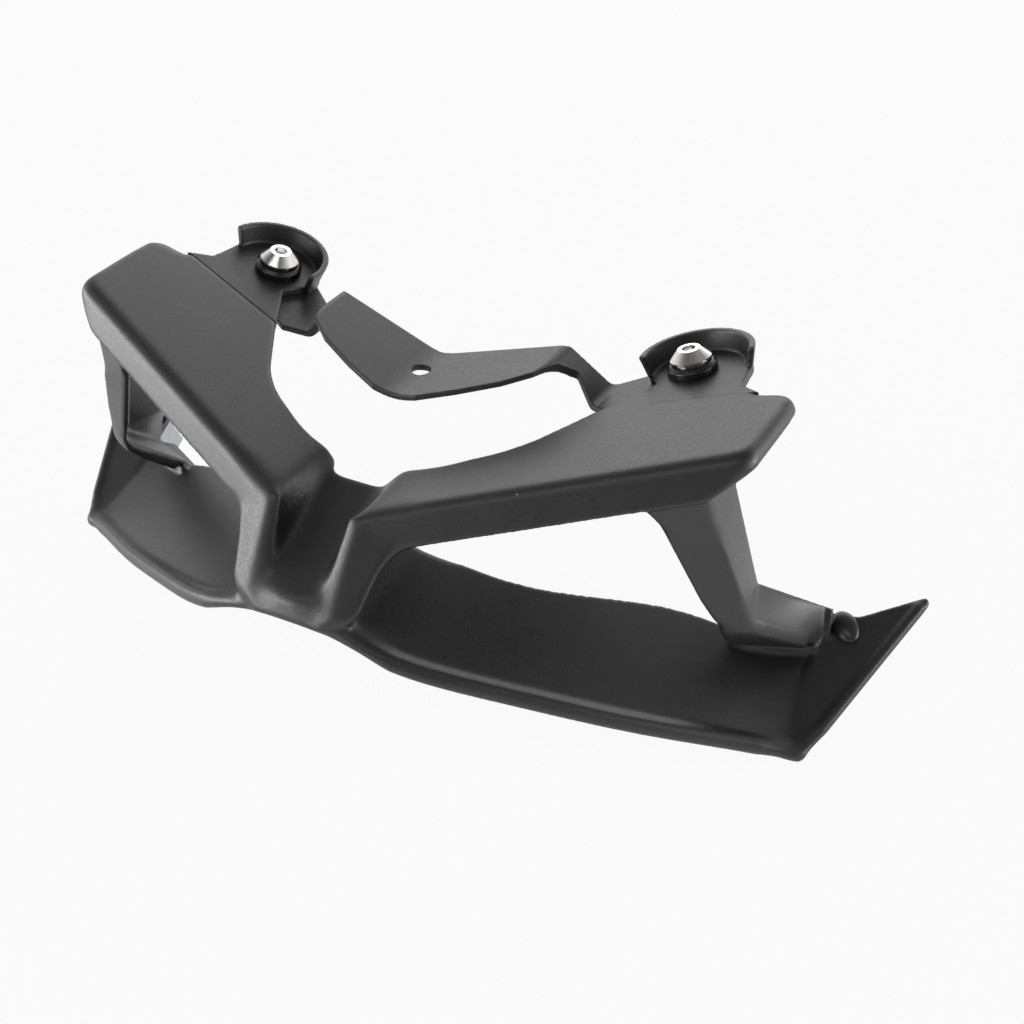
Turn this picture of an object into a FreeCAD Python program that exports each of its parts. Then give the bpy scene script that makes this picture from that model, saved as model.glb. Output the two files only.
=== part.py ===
import FreeCAD, Part
import math
import os
import Sketcher

# Front spoiler for a motorbike: one thin black moulding with two arms, two posts and a swept blade,
# held by a bent steel strap, two ear plates and stainless screws in rubber grommets.
# Frame: X to the rider's view right, Y to the rear, Z up, origin at the strap's centre hole.
# All sizes are millimetres and degrees.

doc = FreeCAD.newDocument("front_spoiler")
sheet = doc.addObject("Spreadsheet::Sheet", "dims")

DIMENSIONS = {
    # arms: flat tops that rise outward, in their own sloping plane (across, along, normal)
    "arm_rise": 15,
    "arm_keel": -17,
    "arm_sweep": 22,
    "front_tip": -72.5,
    "arm_root": 15.5,
    "arm_reach": 132.5,
    "arm_tail": 20,
    "root_rear": -35.6,
    "bay_across": 46,
    "bay_along": -24,
    "bay_radius": 42,
    "seam_in_across": 64.8,
    "seam_in_along": 7.7,
    "seam_margin": 20,
    "seam_out_along": 20,
    "skin": 3,
    "skirt_drop": 12,
    "end_wall": 6.5,
    "skirt_flare": 3.5,
    "end_tuck": 10,
    "arm_corner": 7.5,
    "arm_edge": 5,
    # nose: a tapered block with a sloping channel between two ridges
    "nose_rear": -39.4,
    "nose_front": -66,
    "nose_lean": 16,
    "nose_top_half": 17,
    "nose_foot_half": 13.5,
    "ridge_foot": -36.6,
    "chin_reach": 4,
    "chin_drop": 8,
    "keel_inset": 6,
    "keel_drop": 6,
    "ridge_edge": 2,
    "channel_top_half": 15,
    "channel_floor_half": 9.2,
    "channel_slope": 23.2,
    "mouth_radius": 5,
    "mouth_lead": 4,
    "mouth_flare": 6,
    "floor_wall": 3.5,
    # cheeks: plates that carry the skirts' front faces on down the nose, with a round inner corner
    "cheek_start": 13,
    "cheek_lean": 32,
    "cheek_tuck": 3,
    "cheek_top": 2,
    "cheek_reach": 25,
    "cheek_tip_top": 3.5,
    "cheek_tip_under": 7.2,
    "cheek_corner_run": 11.5,
    "cheek_corner_drop": 12,
    "cheek_foot_run": 2.7,
    "cheek_foot_drop": 34,
    "cheek_foot_tuck": 7.8,
    "cheek_round": 20,
    "cheek_wall": 4.5,
    # posts: bent panels of L section, front strip from lead to ridge, side panel from ridge to rear
    "post_wall": 3,
    "ridge_miter": 2.1,
    "lead_lap": 0.6,
    "post_set": 2.2,
    "post_brow": 9,
    "brow_flare": 7,
    "post_mid": -7,
    "elbow": -49,
    "lead_flare": 10,
    "lead_mid_x": 97.9,
    "lead_mid_y": -32.4,
    "ridge_mid_x": 114,
    "ridge_mid_y": -25.5,
    "rear_mid_x": 113,
    "rear_mid_y": -5,
    "lead_elbow_x": 114.7,
    "lead_elbow_y": -21.4,
    "ridge_elbow_x": 125.3,
    "ridge_elbow_y": -15.3,
    "rear_elbow_x": 119.5,
    "rear_elbow_y": 6,
    # legs: from the elbow back to the blade's rear edge, with a small ledge along the foot
    "foot_outset": 9.5,
    "foot_inset": 0.5,
    "foot_sink": 4.5,
    "foot_yaw": 28.6,
    "foot_roll": 61.3,
    "foot_length": 28,
    "foot_fall": 3,
    "foot_height": 13,
    "foot_flare": 5,
    "ledge_height": 2.6,
    "ledge_depth": 2.6,
    "ledge_margin": 1.5,
    "ledge_back": 8,
    "ledge_sink": 3,
    # blade: swept plate with a bullnose front edge, given at stations across the part
    "blade_wall": 3,
    "blade_keel": -35.5,
    "blade_droop": 22.35,
    "bead_height": 6,
    "bead_depth": 7,
    "bead_nose": 3.3,
    "bead_brow": 1,
    "bead_brow_drop": 0.7,
    "bead_crown": 2.7,
    "bead_toe": 1.2,
    "bead_toe_drop": 5.7,
    "pan_recess": 1.2,
    "root_x": 12,
    "rim_x": 17.5,
    "rim_front": -83,
    "rim_rear": -37,
    "rim_lift": 3.2,
    "dip_x": 28,
    "dip_front": -83.5,
    "dip_rear": -34.5,
    "dip_lift": 4,
    "bend_x": 44,
    "bend_front": -78,
    "bend_rear": -29,
    "bend_lift": 4.2,
    "waist_x": 72,
    "waist_front": -62,
    "waist_rear": -9.5,
    "waist_lift": 4.6,
    "span_x": 104,
    "span_front": -42,
    "span_rear": 10.5,
    "span_lift": 5.6,
    "fold_x": 143,
    "fold_front": -16,
    "fold_rear": 22.5,
    "fold_lift": 17.8,
    "fold_yaw": 11.5,
    # end plates: triangles that turn up from the fold, in their own sloping plane
    "fin_slope": 29,
    "fin_inset": 2.5,
    "fin_sink": 1,
    "fin_foot": 3.5,
    "fin_reach": 25.5,
    "fin_tip_run": 68,
    "fin_notch": 4,
    "fin_notch_run": 52,
    "fin_overlap": 6,
    "fin_tab_run": 50.5,
    "fin_wall": 3,
    "fin_corner": 1.6,
    # ear plates and their lips
    "screw_across": 83.6,
    "screw_along": 36,
    "ear_step": 1,
    "ear_wall": 3,
    "notch_across": 74.6,
    "notch_along": 26.3,
    "notch_gap": 2.4,
    "shoulder_across": 1.5,
    "shoulder_along": 5.5,
    "tongue_reach": 13,
    "tongue_margin": 4,
    "tongue_wall": 2,
    "seam_gap": 0.3,
    "lip_shift": 2.2,
    "lip_radius": 15.2,
    "lip_wall": 2.2,
    "lip_height": 6.6,
    "lip_flare": 2,
    "lip_root": 1,
    "lip_start": 9,
    "lip_span": 182,
    # strap: bent sheet steel
    "sheet_metal": 2,
    "strap_rise": 14,
    "strap_fold_x": 43,
    "riser_angle": 55,
    "bend_radius": 3,
    "vee_radius": 22,
    "strap_front": -17.5,
    "strap_flat_half": 8,
    "strap_rear": 14,
    "strap_back_x": 42,
    "strap_back_y": 21,
    "riser_back_x": 53,
    "riser_back_y": 30,
    "riser_front_x": 64,
    "riser_front_y": 12.2,
    "riser_neck_x": 48,
    "riser_neck_y": 18.5,
    "strap_tip_x": 44.5,
    "strap_tip_y": 12,
    "strap_side_x": 41,
    "strap_side_y": 0.3,
    "strap_bow_x": 33,
    "strap_bow_y": -6.6,
    "strap_sweep_x": 20,
    "strap_sweep_y": -13,
    "strap_hole": 6.2,
    "flange_end": 12,
    "flange_chamfer": 6,
    # hardware
    "screw_radius": 3,
    "head_radius": 6.9,
    "head_height": 4.6,
    "head_rim": 0.9,
    "head_flat": 2.3,
    "socket_across": 3,
    "socket_depth": 2.5,
    "grommet_radius": 8.3,
    "grommet_neck": 6.2,
    "grommet_above": 3.4,
    "grommet_round": 1.2,
    "nut_across": 10,
    "nut_height": 5,
    "screw_spare": 3,
    "rivet_outset": 1.3,
    "rivet_run": 46.5,
    "rivet_radius": 5,
    "rivet_rim": 0.8,
    "rivet_crown": 3.2,
    "rivet_dome": 3,
    "rivet_shank": 2.5,
    "rivet_spare": 4,
    "recess_gap": 1.3,
    "clip_width": 11,
    "clip_front": 4.2,
    "clip_rear": 4,
    "clip_sheet": 1,
    "clip_tail": 14,
}

for row, (alias, value) in enumerate(DIMENSIONS.items(), start=1):
    sheet.set("A%d" % row, alias)
    sheet.set("B%d" % row, str(value))
    sheet.setAlias("B%d" % row, alias)
doc.recompute()

# Places that several pieces share
PLAN = "placement(vector(0; 0; 0); rotation(0; 0; 0))"
FRONT = "placement(vector(0; 0; 0); rotation(0; 0; 90))"
ARM = "placement(vector(0; 0; dims.arm_keel); rotation(0; -dims.arm_rise; 0))"
SEAM_OUT = "(dims.arm_reach - dims.seam_margin)"


def moved(place, across, along, height):
    """A placement moved along its own axes."""
    return "%s * placement(vector(%s; %s; %s); rotation(0; 0; 0))" % (place, across, along, height)


def lifted(place, height):
    return moved(place, "0", "0", height)


def side_at(across):
    """Placement of a sketch in the side view plane, at a distance across the part."""
    return "placement(vector(%s; 0; 0); rotation(90; 0; 90))" % across


def front_at(along):
    """Placement of a sketch in the front view plane, at a distance along the part."""
    return "placement(vector(0; %s; 0); rotation(0; 0; 90))" % along


def cell(alias):
    return float(sheet.get(alias))


# Sketches and features
def new_sketch(name, place, body):
    sketch = doc.addObject("Sketcher::SketchObject", name)
    if body:
        body.addObject(sketch)
    sketch.setExpression("Placement", place)
    return sketch


def outline(name, corners, place, body=None):
    """Closed sketch of straight lines, each corner driven by two expressions."""
    sketch = new_sketch(name, place, body)
    starts = [[float(sketch.evalExpression(axis)) for axis in corner] for corner in corners]
    points = [FreeCAD.Vector(x, y, 0) for x, y in starts]
    count = len(points)
    for i in range(count):
        sketch.addGeometry(Part.LineSegment(points[i], points[(i + 1) % count]))
    for i in range(count):
        sketch.addConstraint(Sketcher.Constraint("Coincident", i, 2, (i + 1) % count, 1))
    for i, corner in enumerate(corners):
        for kind, axis, start in zip(("DistanceX", "DistanceY"), corner, starts[i]):
            index = sketch.addConstraint(Sketcher.Constraint(kind, -1, 1, i, 1, start))
            sketch.setExpression("Constraints[%d]" % index, axis)
    return sketch


def circle(name, across, along, radius, place, body=None):
    """Sketch of one circle, driven by expressions."""
    sketch = new_sketch(name, place, body)
    x, y, r = (float(sketch.evalExpression(text)) for text in (across, along, radius))
    sketch.addGeometry(Part.Circle(FreeCAD.Vector(x, y, 0), FreeCAD.Vector(0, 0, 1), r))
    constraints = (
        (Sketcher.Constraint("DistanceX", -1, 1, 0, 3, x), across),
        (Sketcher.Constraint("DistanceY", -1, 1, 0, 3, y), along),
        (Sketcher.Constraint("Radius", 0, r), radius),
    )
    for constraint, text in constraints:
        index = sketch.addConstraint(constraint)
        sketch.setExpression("Constraints[%d]" % index, text)
    return sketch


def hexagon(name, across_flats, place, body):
    reach = "%s / 2 / cos(30)" % across_flats
    corners = []
    for turn in range(0, 360, 60):
        corners.append(("%s * cos(%d)" % (reach, turn), "%s * sin(%d)" % (reach, turn)))
    return outline(name, corners, place, body)


def new_body(name, place=PLAN):
    body = doc.addObject("PartDesign::Body", name)
    body.setExpression("Placement", place)
    return body


def feature_of(body, kind, name, profile):
    feature = body.newObject("PartDesign::" + kind, name)
    feature.Profile = profile
    return feature


def pad(body, name, sketch, length):
    """Thicken a sketch below its plane."""
    feature = feature_of(body, "Pad", name, sketch)
    feature.Reversed = True
    feature.setExpression("Length", length)
    doc.recompute()
    return feature


def pad_both_ways(body, name, sketch, length):
    feature = feature_of(body, "Pad", name, sketch)
    feature.Midplane = True
    feature.setExpression("Length", length)
    doc.recompute()
    return feature


def pocket_both_ways(body, name, sketch, length):
    feature = feature_of(body, "Pocket", name, sketch)
    feature.Midplane = True
    feature.setExpression("Length", length)
    doc.recompute()
    return feature


def pocket_through(body, name, sketch):
    feature = feature_of(body, "Pocket", name, sketch)
    feature.Type = "ThroughAll"
    feature.Midplane = True
    doc.recompute()
    return feature


def revolve(body, name, sketch, angle="360"):
    feature = feature_of(body, "Revolution", name, sketch)
    feature.ReferenceAxis = (sketch, ["V_Axis"])
    feature.setExpression("Angle", angle)
    doc.recompute()
    return feature


def body_loft(body, name, sections, cuts=False):
    feature = feature_of(body, "SubtractiveLoft" if cuts else "AdditiveLoft", name, sections[0])
    feature.Sections = sections[1:]
    feature.Ruled = True
    doc.recompute()
    return feature


def fillet(body, name, base, chosen, radius):
    """Round the edges of a feature that a test picks."""
    edges = ["Edge%d" % (i + 1) for i, edge in enumerate(base.Shape.Edges) if chosen(edge)]
    feature = body.newObject("PartDesign::Fillet", name)
    feature.Base = (base, edges)
    feature.setExpression("Radius", radius)
    doc.recompute()
    return feature


def loft(name, sections, ruled=True):
    feature = doc.addObject("Part::Loft", name)
    feature.Sections = sections
    feature.Solid = True
    feature.Ruled = ruled
    doc.recompute()
    return feature


def joined(name, pieces):
    feature = doc.addObject("Part::MultiFuse", name)
    feature.Shapes = pieces
    feature.Refine = True
    doc.recompute()
    return feature


def minus(name, base, tool):
    feature = doc.addObject("Part::Cut", name)
    feature.Base = base
    feature.Tool = tool
    doc.recompute()
    return feature


def mirrored(name, source):
    """The same piece on the other side of the part."""
    feature = doc.addObject("Part::Mirroring", name)
    feature.Source = source
    feature.Normal = FreeCAD.Vector(1, 0, 0)
    doc.recompute()
    return feature


def drill(name, place, radius, bottom, top):
    """Round cutter along a placement's own normal."""
    tool = doc.addObject("Part::Cylinder", name)
    tool.setExpression("Radius", radius)
    tool.setExpression("Height", "(%s) - (%s)" % (top, bottom))
    tool.setExpression("Placement", lifted(place, bottom))
    doc.recompute()
    return tool


def edge_ends(edge):
    return [vertex.Point for vertex in edge.Vertexes]


def rises(edge):
    """True for an edge that runs from one face of a plate to the other."""
    ends = edge_ends(edge)
    return len(ends) == 2 and abs(ends[0].z - ends[1].z) > cell("skirt_drop") / 2


# Arm: a shallow tray open below and behind, with a front skirt and a tucked outer end
def front_line(across, inward="0"):
    """Rearward place of the arm's front edge at a place across, moved in by a wall."""
    return "dims.front_tip + (%s) * tan(dims.arm_sweep) + (%s) / cos(dims.arm_sweep)" % (across, inward)


def arm_outline(name, body, depth, flare, tuck):
    reach = "dims.arm_reach - (%s)" % tuck
    corners = [
        ("dims.arm_root", "dims.root_rear"),
        ("dims.bay_across", "dims.bay_along"),
        ("dims.seam_in_across", "dims.seam_in_along"),
        (SEAM_OUT, "dims.seam_out_along"),
        (reach, "dims.arm_tail"),
        (reach, front_line(reach, "-(%s)" % flare)),
        ("dims.arm_root", front_line("dims.arm_root", "-(%s)" % flare)),
    ]
    return outline(name, corners, lifted(PLAN, "-(%s)" % depth), body)


def hollow_outline(name, body, depth):
    """Inside of the tray at a depth below the top, one wall in from the skirt and the end."""
    share = "((%s) / dims.skirt_drop)" % depth
    reach = "dims.arm_reach - dims.end_wall - dims.end_tuck * %s" % share
    wall = "dims.skin - dims.skirt_flare * %s" % share
    start = "dims.arm_root - dims.skin"
    open_rear = "dims.arm_tail + dims.skin"
    corners = [
        (start, open_rear),
        (reach, open_rear),
        (reach, front_line(reach, wall)),
        (start, front_line(start, wall)),
    ]
    return outline(name, corners, lifted(PLAN, "-(%s)" % depth), body)


def build_arm():
    body = new_body("arm", ARM)
    block = body_loft(body, "arm_block", [
        arm_outline("arm_top", body, "0", "0", "0"),
        arm_outline("arm_under", body, "dims.skirt_drop", "dims.skirt_flare", "dims.end_tuck"),
    ])

    def at_bay(edge):
        middle = edge.CenterOfMass
        reach = cell("skirt_drop") / 2
        return rises(edge) and abs(middle.x - cell("bay_across")) < reach and (
            abs(middle.y - cell("bay_along")) < reach)

    def at_end(edge):
        inner = cell("arm_reach") - cell("end_tuck") - cell("skin")
        return rises(edge) and all(point.x > inner for point in edge_ends(edge))

    def on_rim(edge):
        box = edge.BoundBox
        if max(abs(box.ZMin), abs(box.ZMax)) > 0.01:
            return False
        middle = edge.CenterOfMass
        front = cell("front_tip") + middle.x * math.tan(math.radians(cell("arm_sweep")))
        return abs(middle.y - front) < cell("skin") or middle.x > cell("arm_reach") - cell("arm_corner")

    bay = fillet(body, "arm_bay", block, at_bay, "dims.bay_radius")
    ends = fillet(body, "arm_ends", bay, at_end, "dims.arm_corner")
    fillet(body, "arm_rim", ends, on_rim, "dims.arm_edge")
    body_loft(body, "arm_hollow", [
        hollow_outline("hollow_top", body, "dims.skin"),
        hollow_outline("hollow_under", body, "dims.skirt_drop + dims.skin"),
    ], cuts=True)
    return body


# Nose: a block that narrows downward and leans forward, hollow below
NOSE_TOP = "(dims.arm_keel + dims.arm_root * tan(dims.arm_rise))"
FOOT = "(dims.nose_front - dims.nose_lean)"
CHIN_LEVEL = "(dims.ridge_foot - dims.chin_drop)"


def floor_at(along):
    """Height of the channel's floor at a place along the nose, through the ridges' front foot."""
    return "(dims.ridge_foot + ((%s) - %s) * tan(dims.channel_slope))" % (along, FOOT)


def nose_level(name, body, half, front, height):
    corners = [
        ("-(%s)" % half, front),
        (half, front),
        (half, "dims.nose_rear"),
        ("-(%s)" % half, "dims.nose_rear"),
    ]
    return outline(name, corners, lifted(PLAN, height), body)


def build_nose():
    body = new_body("nose")
    keel = "%s - dims.keel_drop" % CHIN_LEVEL
    levels = [
        nose_level("nose_top", body, "dims.nose_top_half", "dims.nose_front", NOSE_TOP),
        nose_level("nose_foot", body, "dims.nose_foot_half", FOOT, "dims.ridge_foot"),
        nose_level("nose_chin", body, "dims.nose_foot_half", "%s - dims.chin_reach" % FOOT, CHIN_LEVEL),
        nose_level("nose_keel", body, "dims.nose_foot_half", "%s + dims.keel_inset" % FOOT, keel),
    ]
    block = body_loft(body, "nose_block", levels)

    def on_ridge(edge):
        ends = edge_ends(edge)
        upper = cell("ridge_foot") - cell("skin")
        leans = abs(ends[0].z - ends[1].z) > cell("skin")
        return leans and all(p.y < cell("nose_rear") - cell("skin") and p.z > upper for p in ends)

    fillet(body, "nose_ridges", block, on_ridge, "dims.ridge_edge")
    inside = "%s + dims.chin_reach" % FOOT
    behind = "dims.nose_rear + dims.skin"
    under = outline("nose_under", [
        (behind, "%s - dims.floor_wall" % floor_at(behind)),
        (inside, "%s - dims.floor_wall" % floor_at(inside)),
        (inside, "%s - dims.skin" % keel),
        (behind, "%s - dims.skin" % keel),
    ], side_at("0"), body)
    pocket_both_ways(body, "nose_hollow", under, "2 * (dims.nose_foot_half - dims.skin)")
    return body


CHEEK = ("placement(vector(dims.cheek_start; dims.nose_front; %s); "
         "rotation(dims.arm_sweep; 0; 90 - dims.cheek_lean))" % NOSE_TOP)


def build_cheek():
    body = new_body("cheek", CHEEK)
    plate = pad(body, "cheek_plate", outline("cheek_outline", [
        ("-dims.cheek_tuck", "-dims.cheek_top"),
        ("dims.cheek_reach", "-dims.cheek_tip_top"),
        ("dims.cheek_reach", "-dims.cheek_tip_under"),
        ("dims.cheek_corner_run", "-dims.cheek_corner_drop"),
        ("dims.cheek_foot_run", "-dims.cheek_foot_drop"),
        ("-dims.cheek_foot_tuck", "-dims.cheek_foot_drop"),
    ], PLAN, body), "dims.cheek_wall")

    def inner_corner(edge):
        middle = edge.CenterOfMass
        return edge.BoundBox.ZLength > cell("cheek_wall") / 2 and (
            abs(middle.x - cell("cheek_corner_run")) < cell("cheek_tuck")) and (
            abs(middle.y + cell("cheek_corner_drop")) < cell("cheek_tuck"))

    fillet(body, "cheek_arc", plate, inner_corner, "dims.cheek_round")
    return body


def channel_section(name, along, half):
    """Section of the channel: a flat floor, sloping walls up to the arms and open above them."""
    top = "(dims.arm_keel + (%s) * tan(dims.arm_rise))" % half
    sky = "%s + dims.nose_top_half" % top
    corners = [
        ("-dims.channel_floor_half", floor_at(along)),
        ("dims.channel_floor_half", floor_at(along)),
        (half, top),
        (half, sky),
        ("-(%s)" % half, sky),
        ("-(%s)" % half, top),
    ]
    return outline(name, corners, front_at(along))


def build_channel():
    """Cutter for the channel, whose mouth at the rear opens along an arc and on along its tangent."""
    sections = [channel_section("channel_front", "%s - dims.nose_lean" % FOOT, "dims.channel_top_half")]
    for turn in (0, 20, 40, 60):
        along = "dims.root_rear - dims.mouth_lead + dims.mouth_radius * sin(%d)" % turn
        half = "dims.channel_top_half + dims.mouth_radius * (1 - cos(%d))" % turn
        sections.append(channel_section("channel_mouth_%d" % turn, along, half))
    behind = "%s + dims.mouth_flare * cos(%d)" % (along, turn)
    widest = "%s + dims.mouth_flare * sin(%d)" % (half, turn)
    sections.append(channel_section("channel_rear", behind, widest))
    return loft("channel", sections)


# Blade: bullnose sections at stations across the part, lofted in one smooth run
def bead_level(across):
    return "(dims.blade_keel - (%s) * tan(dims.blade_droop))" % across


def blade_section(name, place, station, level, recess):
    """Section with a round bead in front and a pan behind it that lies a recess below the bead's top."""
    front = "dims.%s_front" % station
    rear = "dims.%s_rear" % station
    rear_level = "%s + dims.%s_lift + dims.pan_recess - (%s)" % (level, station, recess)
    corners = [
        (front, "%s - dims.bead_nose" % level),
        ("%s + dims.bead_brow" % front, "%s - dims.bead_brow_drop" % level),
        ("%s + dims.bead_crown" % front, level),
        ("%s + dims.bead_depth" % front, "%s - (%s)" % (level, recess)),
        (rear, rear_level),
        (rear, "%s - dims.blade_wall" % rear_level),
        ("%s + dims.bead_depth" % front, "%s - dims.bead_height" % level),
        ("%s + dims.bead_toe" % front, "%s - dims.bead_toe_drop" % level),
    ]
    return outline(name, corners, place)


def build_blade():
    sections = []
    for station in ("rim", "dip", "bend", "waist", "span"):
        across = "dims.%s_x" % station
        sections.append(blade_section(
            "blade_" + station, side_at(across), station, bead_level(across), "dims.pan_recess"))
    fold = "placement(vector(dims.fold_x; 0; 0); rotation(90 + dims.fold_yaw; 0; 90))"
    sections.append(blade_section("blade_fold", fold, "fold", bead_level("dims.fold_x"), "dims.pan_recess"))
    return loft("blade", sections, ruled=False)


def build_blade_root():
    """Flange between the nose and the pan, level with the bead's top."""
    edge = "dims.rim_x + dims.pan_recess"
    sections = []
    for name, across in (("root", "dims.root_x"), ("edge", edge)):
        sections.append(blade_section("flange_" + name, side_at(across), "rim", bead_level(across), "0"))
    return loft("blade_root", sections)


# End plate: a triangle that turns up from the blade's outer end, with a tab behind the blade
FIN = ("placement(vector(0; dims.fold_front + dims.fin_inset; %s - dims.fin_sink); "
       "rotation(0; 0; dims.fin_slope))" % bead_level("dims.fold_x"))
RIVET = moved(FIN, "dims.fold_x + dims.rivet_outset", "dims.rivet_run", "0")


def build_fin():
    body = new_body("fin", FIN)
    inner = "dims.fold_x - dims.fin_overlap"
    corners = [
        (inner, "0"),
        ("dims.fold_x + dims.fin_foot", "0"),
        ("dims.fold_x + dims.fin_reach", "dims.fin_tip_run"),
        ("dims.fold_x + dims.fin_notch", "dims.fin_notch_run"),
        (inner, "dims.fin_tab_run"),
    ]
    plate = pad(body, "fin_plate", outline("fin_outline", corners, PLAN, body), "dims.fin_wall")

    def outer_corner(edge):
        ends = edge_ends(edge)
        upright = abs(ends[0].z - ends[1].z) > cell("fin_wall") / 2
        outside = ends[0].x > cell("fold_x") + cell("fin_foot") - cell("fin_wall") / 2
        return upright and outside and abs(ends[0].y - cell("fin_notch_run")) > cell("fin_wall")

    fillet(body, "fin_round", plate, outer_corner, "dims.fin_corner")
    return body


# Post: L sections from the arm's skin down to the elbow, and the leg back to the blade's rear edge
def angle_section(name, place, lead, ridge, rear):
    """L section: the front strip from lead to ridge and the side panel from ridge to rear."""
    (lead_x, lead_y), (ridge_x, ridge_y), (rear_x, rear_y) = lead, ridge, rear
    corners = [
        lead,
        ridge,
        rear,
        ("%s - dims.post_wall" % rear_x, rear_y),
        ("%s - dims.post_wall" % ridge_x, "%s + dims.ridge_miter" % ridge_y),
        ("%s + dims.lead_lap" % lead_x, "%s + dims.post_wall" % lead_y),
    ]
    return outline(name, corners, place)


def corner_set(where):
    """Lead, ridge and rear corners of the post at one of its levels."""
    names = ["%s_%s" % (edge, where) for edge in ("lead", "ridge", "rear")]
    return [("dims.%s_x" % name, "dims.%s_y" % name) for name in names]


def under_arm(flare, inset):
    """The post's middle corners carried up into the arm, the lead flared and the front in the skirt."""
    lead, ridge, rear = [("(%s) / cos(dims.arm_rise)" % x, y) for x, y in corner_set("mid")]
    flared = "%s - %s" % (lead[0], flare)
    return (flared, front_line(flared, inset)), (ridge[0], front_line(ridge[0], inset)), rear


FOOT_PLACE = ("placement(vector(dims.span_x + dims.foot_outset; dims.span_rear - dims.foot_inset; "
              "%s + dims.span_lift - dims.foot_sink); rotation(dims.foot_yaw; 0; dims.foot_roll))"
              % bead_level("dims.span_x"))


def build_post():
    in_skirt = "dims.skin / 2 - dims.skirt_flare * dims.post_brow / dims.skirt_drop"
    top = under_arm("dims.lead_flare", "dims.post_set")
    brow = under_arm("dims.brow_flare", in_skirt)
    upper = [
        angle_section("post_top", lifted(ARM, "-dims.skin / 2"), *top),
        angle_section("post_brow", lifted(ARM, "-dims.post_brow"), *brow),
        angle_section("post_mid", lifted(PLAN, "dims.post_mid"), *corner_set("mid")),
        angle_section("post_elbow", lifted(PLAN, "dims.elbow"), *corner_set("elbow")),
    ]
    rise = "dims.foot_height - dims.foot_fall"
    end = outline("leg_foot", [
        ("0", "0"),
        ("dims.foot_length", "-dims.foot_fall"),
        ("dims.foot_length + dims.foot_flare", rise),
        ("dims.foot_length + dims.foot_flare - dims.post_wall", rise),
        ("dims.foot_length - dims.post_wall", "dims.post_wall - dims.foot_fall"),
        ("0", "dims.post_wall"),
    ], FOOT_PLACE)
    return [loft("post", upper), loft("leg", [upper[-1], end])]


def build_ledge():
    """Bar along the leg's foot that runs back over the blade's rear edge."""
    bar = doc.addObject("Part::Box", "ledge")
    start = moved(FOOT_PLACE, "dims.ledge_margin", "-dims.foot_fall - dims.ledge_sink", "-dims.ledge_back")
    bar.setExpression("Length", "dims.foot_length - 2 * dims.ledge_margin")
    bar.setExpression("Width", "dims.ledge_height + dims.ledge_sink")
    bar.setExpression("Height", "dims.ledge_depth + dims.ledge_back")
    bar.setExpression("Placement", start)
    doc.recompute()
    return bar


# Ear plate: carries the screw behind the seam, with a raised lip and a tongue under the arm's skin
EAR_TOP = "(-dims.ear_step)"
EAR_UNDER = "(-dims.ear_step - dims.ear_wall)"
EAR_RADIUS = "(dims.lip_radius + dims.lip_wall)"


def build_ear():
    body = new_body("right_ear", ARM)
    near = "dims.seam_in_across + dims.tongue_margin"
    far = "%s - 2 * dims.tongue_margin" % SEAM_OUT
    tongue = outline("ear_tongue", [
        (near, "dims.seam_in_along - dims.tongue_reach"),
        (far, "dims.seam_out_along - dims.tongue_reach"),
        (far, "dims.seam_out_along + dims.tongue_margin"),
        (near, "dims.seam_in_along + dims.tongue_margin"),
    ], lifted(PLAN, "-dims.skin"), body)
    pad(body, "ear_tongue_pad", tongue, "dims.tongue_wall")
    middle = "dims.screw_across + dims.lip_shift"
    outer = "%s + %s" % (middle, EAR_RADIUS)
    inner = "%s - %s" % (middle, EAR_RADIUS)
    plate = outline("ear_plate", [
        ("dims.seam_in_across", "dims.seam_in_along + dims.seam_gap"),
        (SEAM_OUT, "dims.seam_out_along + dims.seam_gap"),
        ("%s + dims.shoulder_across" % outer, "dims.seam_out_along + dims.shoulder_along"),
        (outer, "dims.screw_along"),
        (inner, "dims.screw_along"),
        ("dims.notch_across", "dims.notch_along"),
    ], lifted(PLAN, EAR_TOP), body)
    pad(body, "ear_plate_pad", plate, "dims.ear_wall")
    disc = circle("ear_disc", middle, "dims.screw_along", EAR_RADIUS, lifted(PLAN, EAR_TOP), body)
    pad(body, "ear_disc_pad", disc, "dims.ear_wall")
    lip_end = "dims.screw_along - dims.notch_gap"
    beyond = "%s - dims.lip_radius / 2" % inner
    notch = outline("ear_notch", [
        (beyond, lip_end),
        ("%s + dims.lip_wall" % inner, lip_end),
        ("dims.notch_across", "dims.notch_along"),
        ("dims.seam_in_across", "dims.seam_in_along + dims.seam_gap"),
        (beyond, "dims.seam_in_along + dims.seam_gap"),
    ], PLAN, body)
    pocket_through(body, "ear_neck", notch)
    hole = circle("ear_hole", "dims.screw_across", "dims.screw_along", "dims.grommet_neck", PLAN, body)
    pocket_through(body, "ear_bore", hole)
    turned = "placement(vector(%s; dims.screw_along; 0); rotation(dims.lip_start; 0; 90))" % middle
    base = "%s - dims.lip_root" % EAR_TOP
    top = "%s + dims.lip_height" % EAR_TOP
    lip = outline("ear_lip", [
        ("dims.lip_radius", base),
        (EAR_RADIUS, base),
        ("%s + dims.lip_flare" % EAR_RADIUS, top),
        ("dims.lip_radius + dims.lip_flare", top),
    ], turned, body)
    revolve(body, "ear_lip_wall", lip, "dims.lip_span")
    return body


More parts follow.
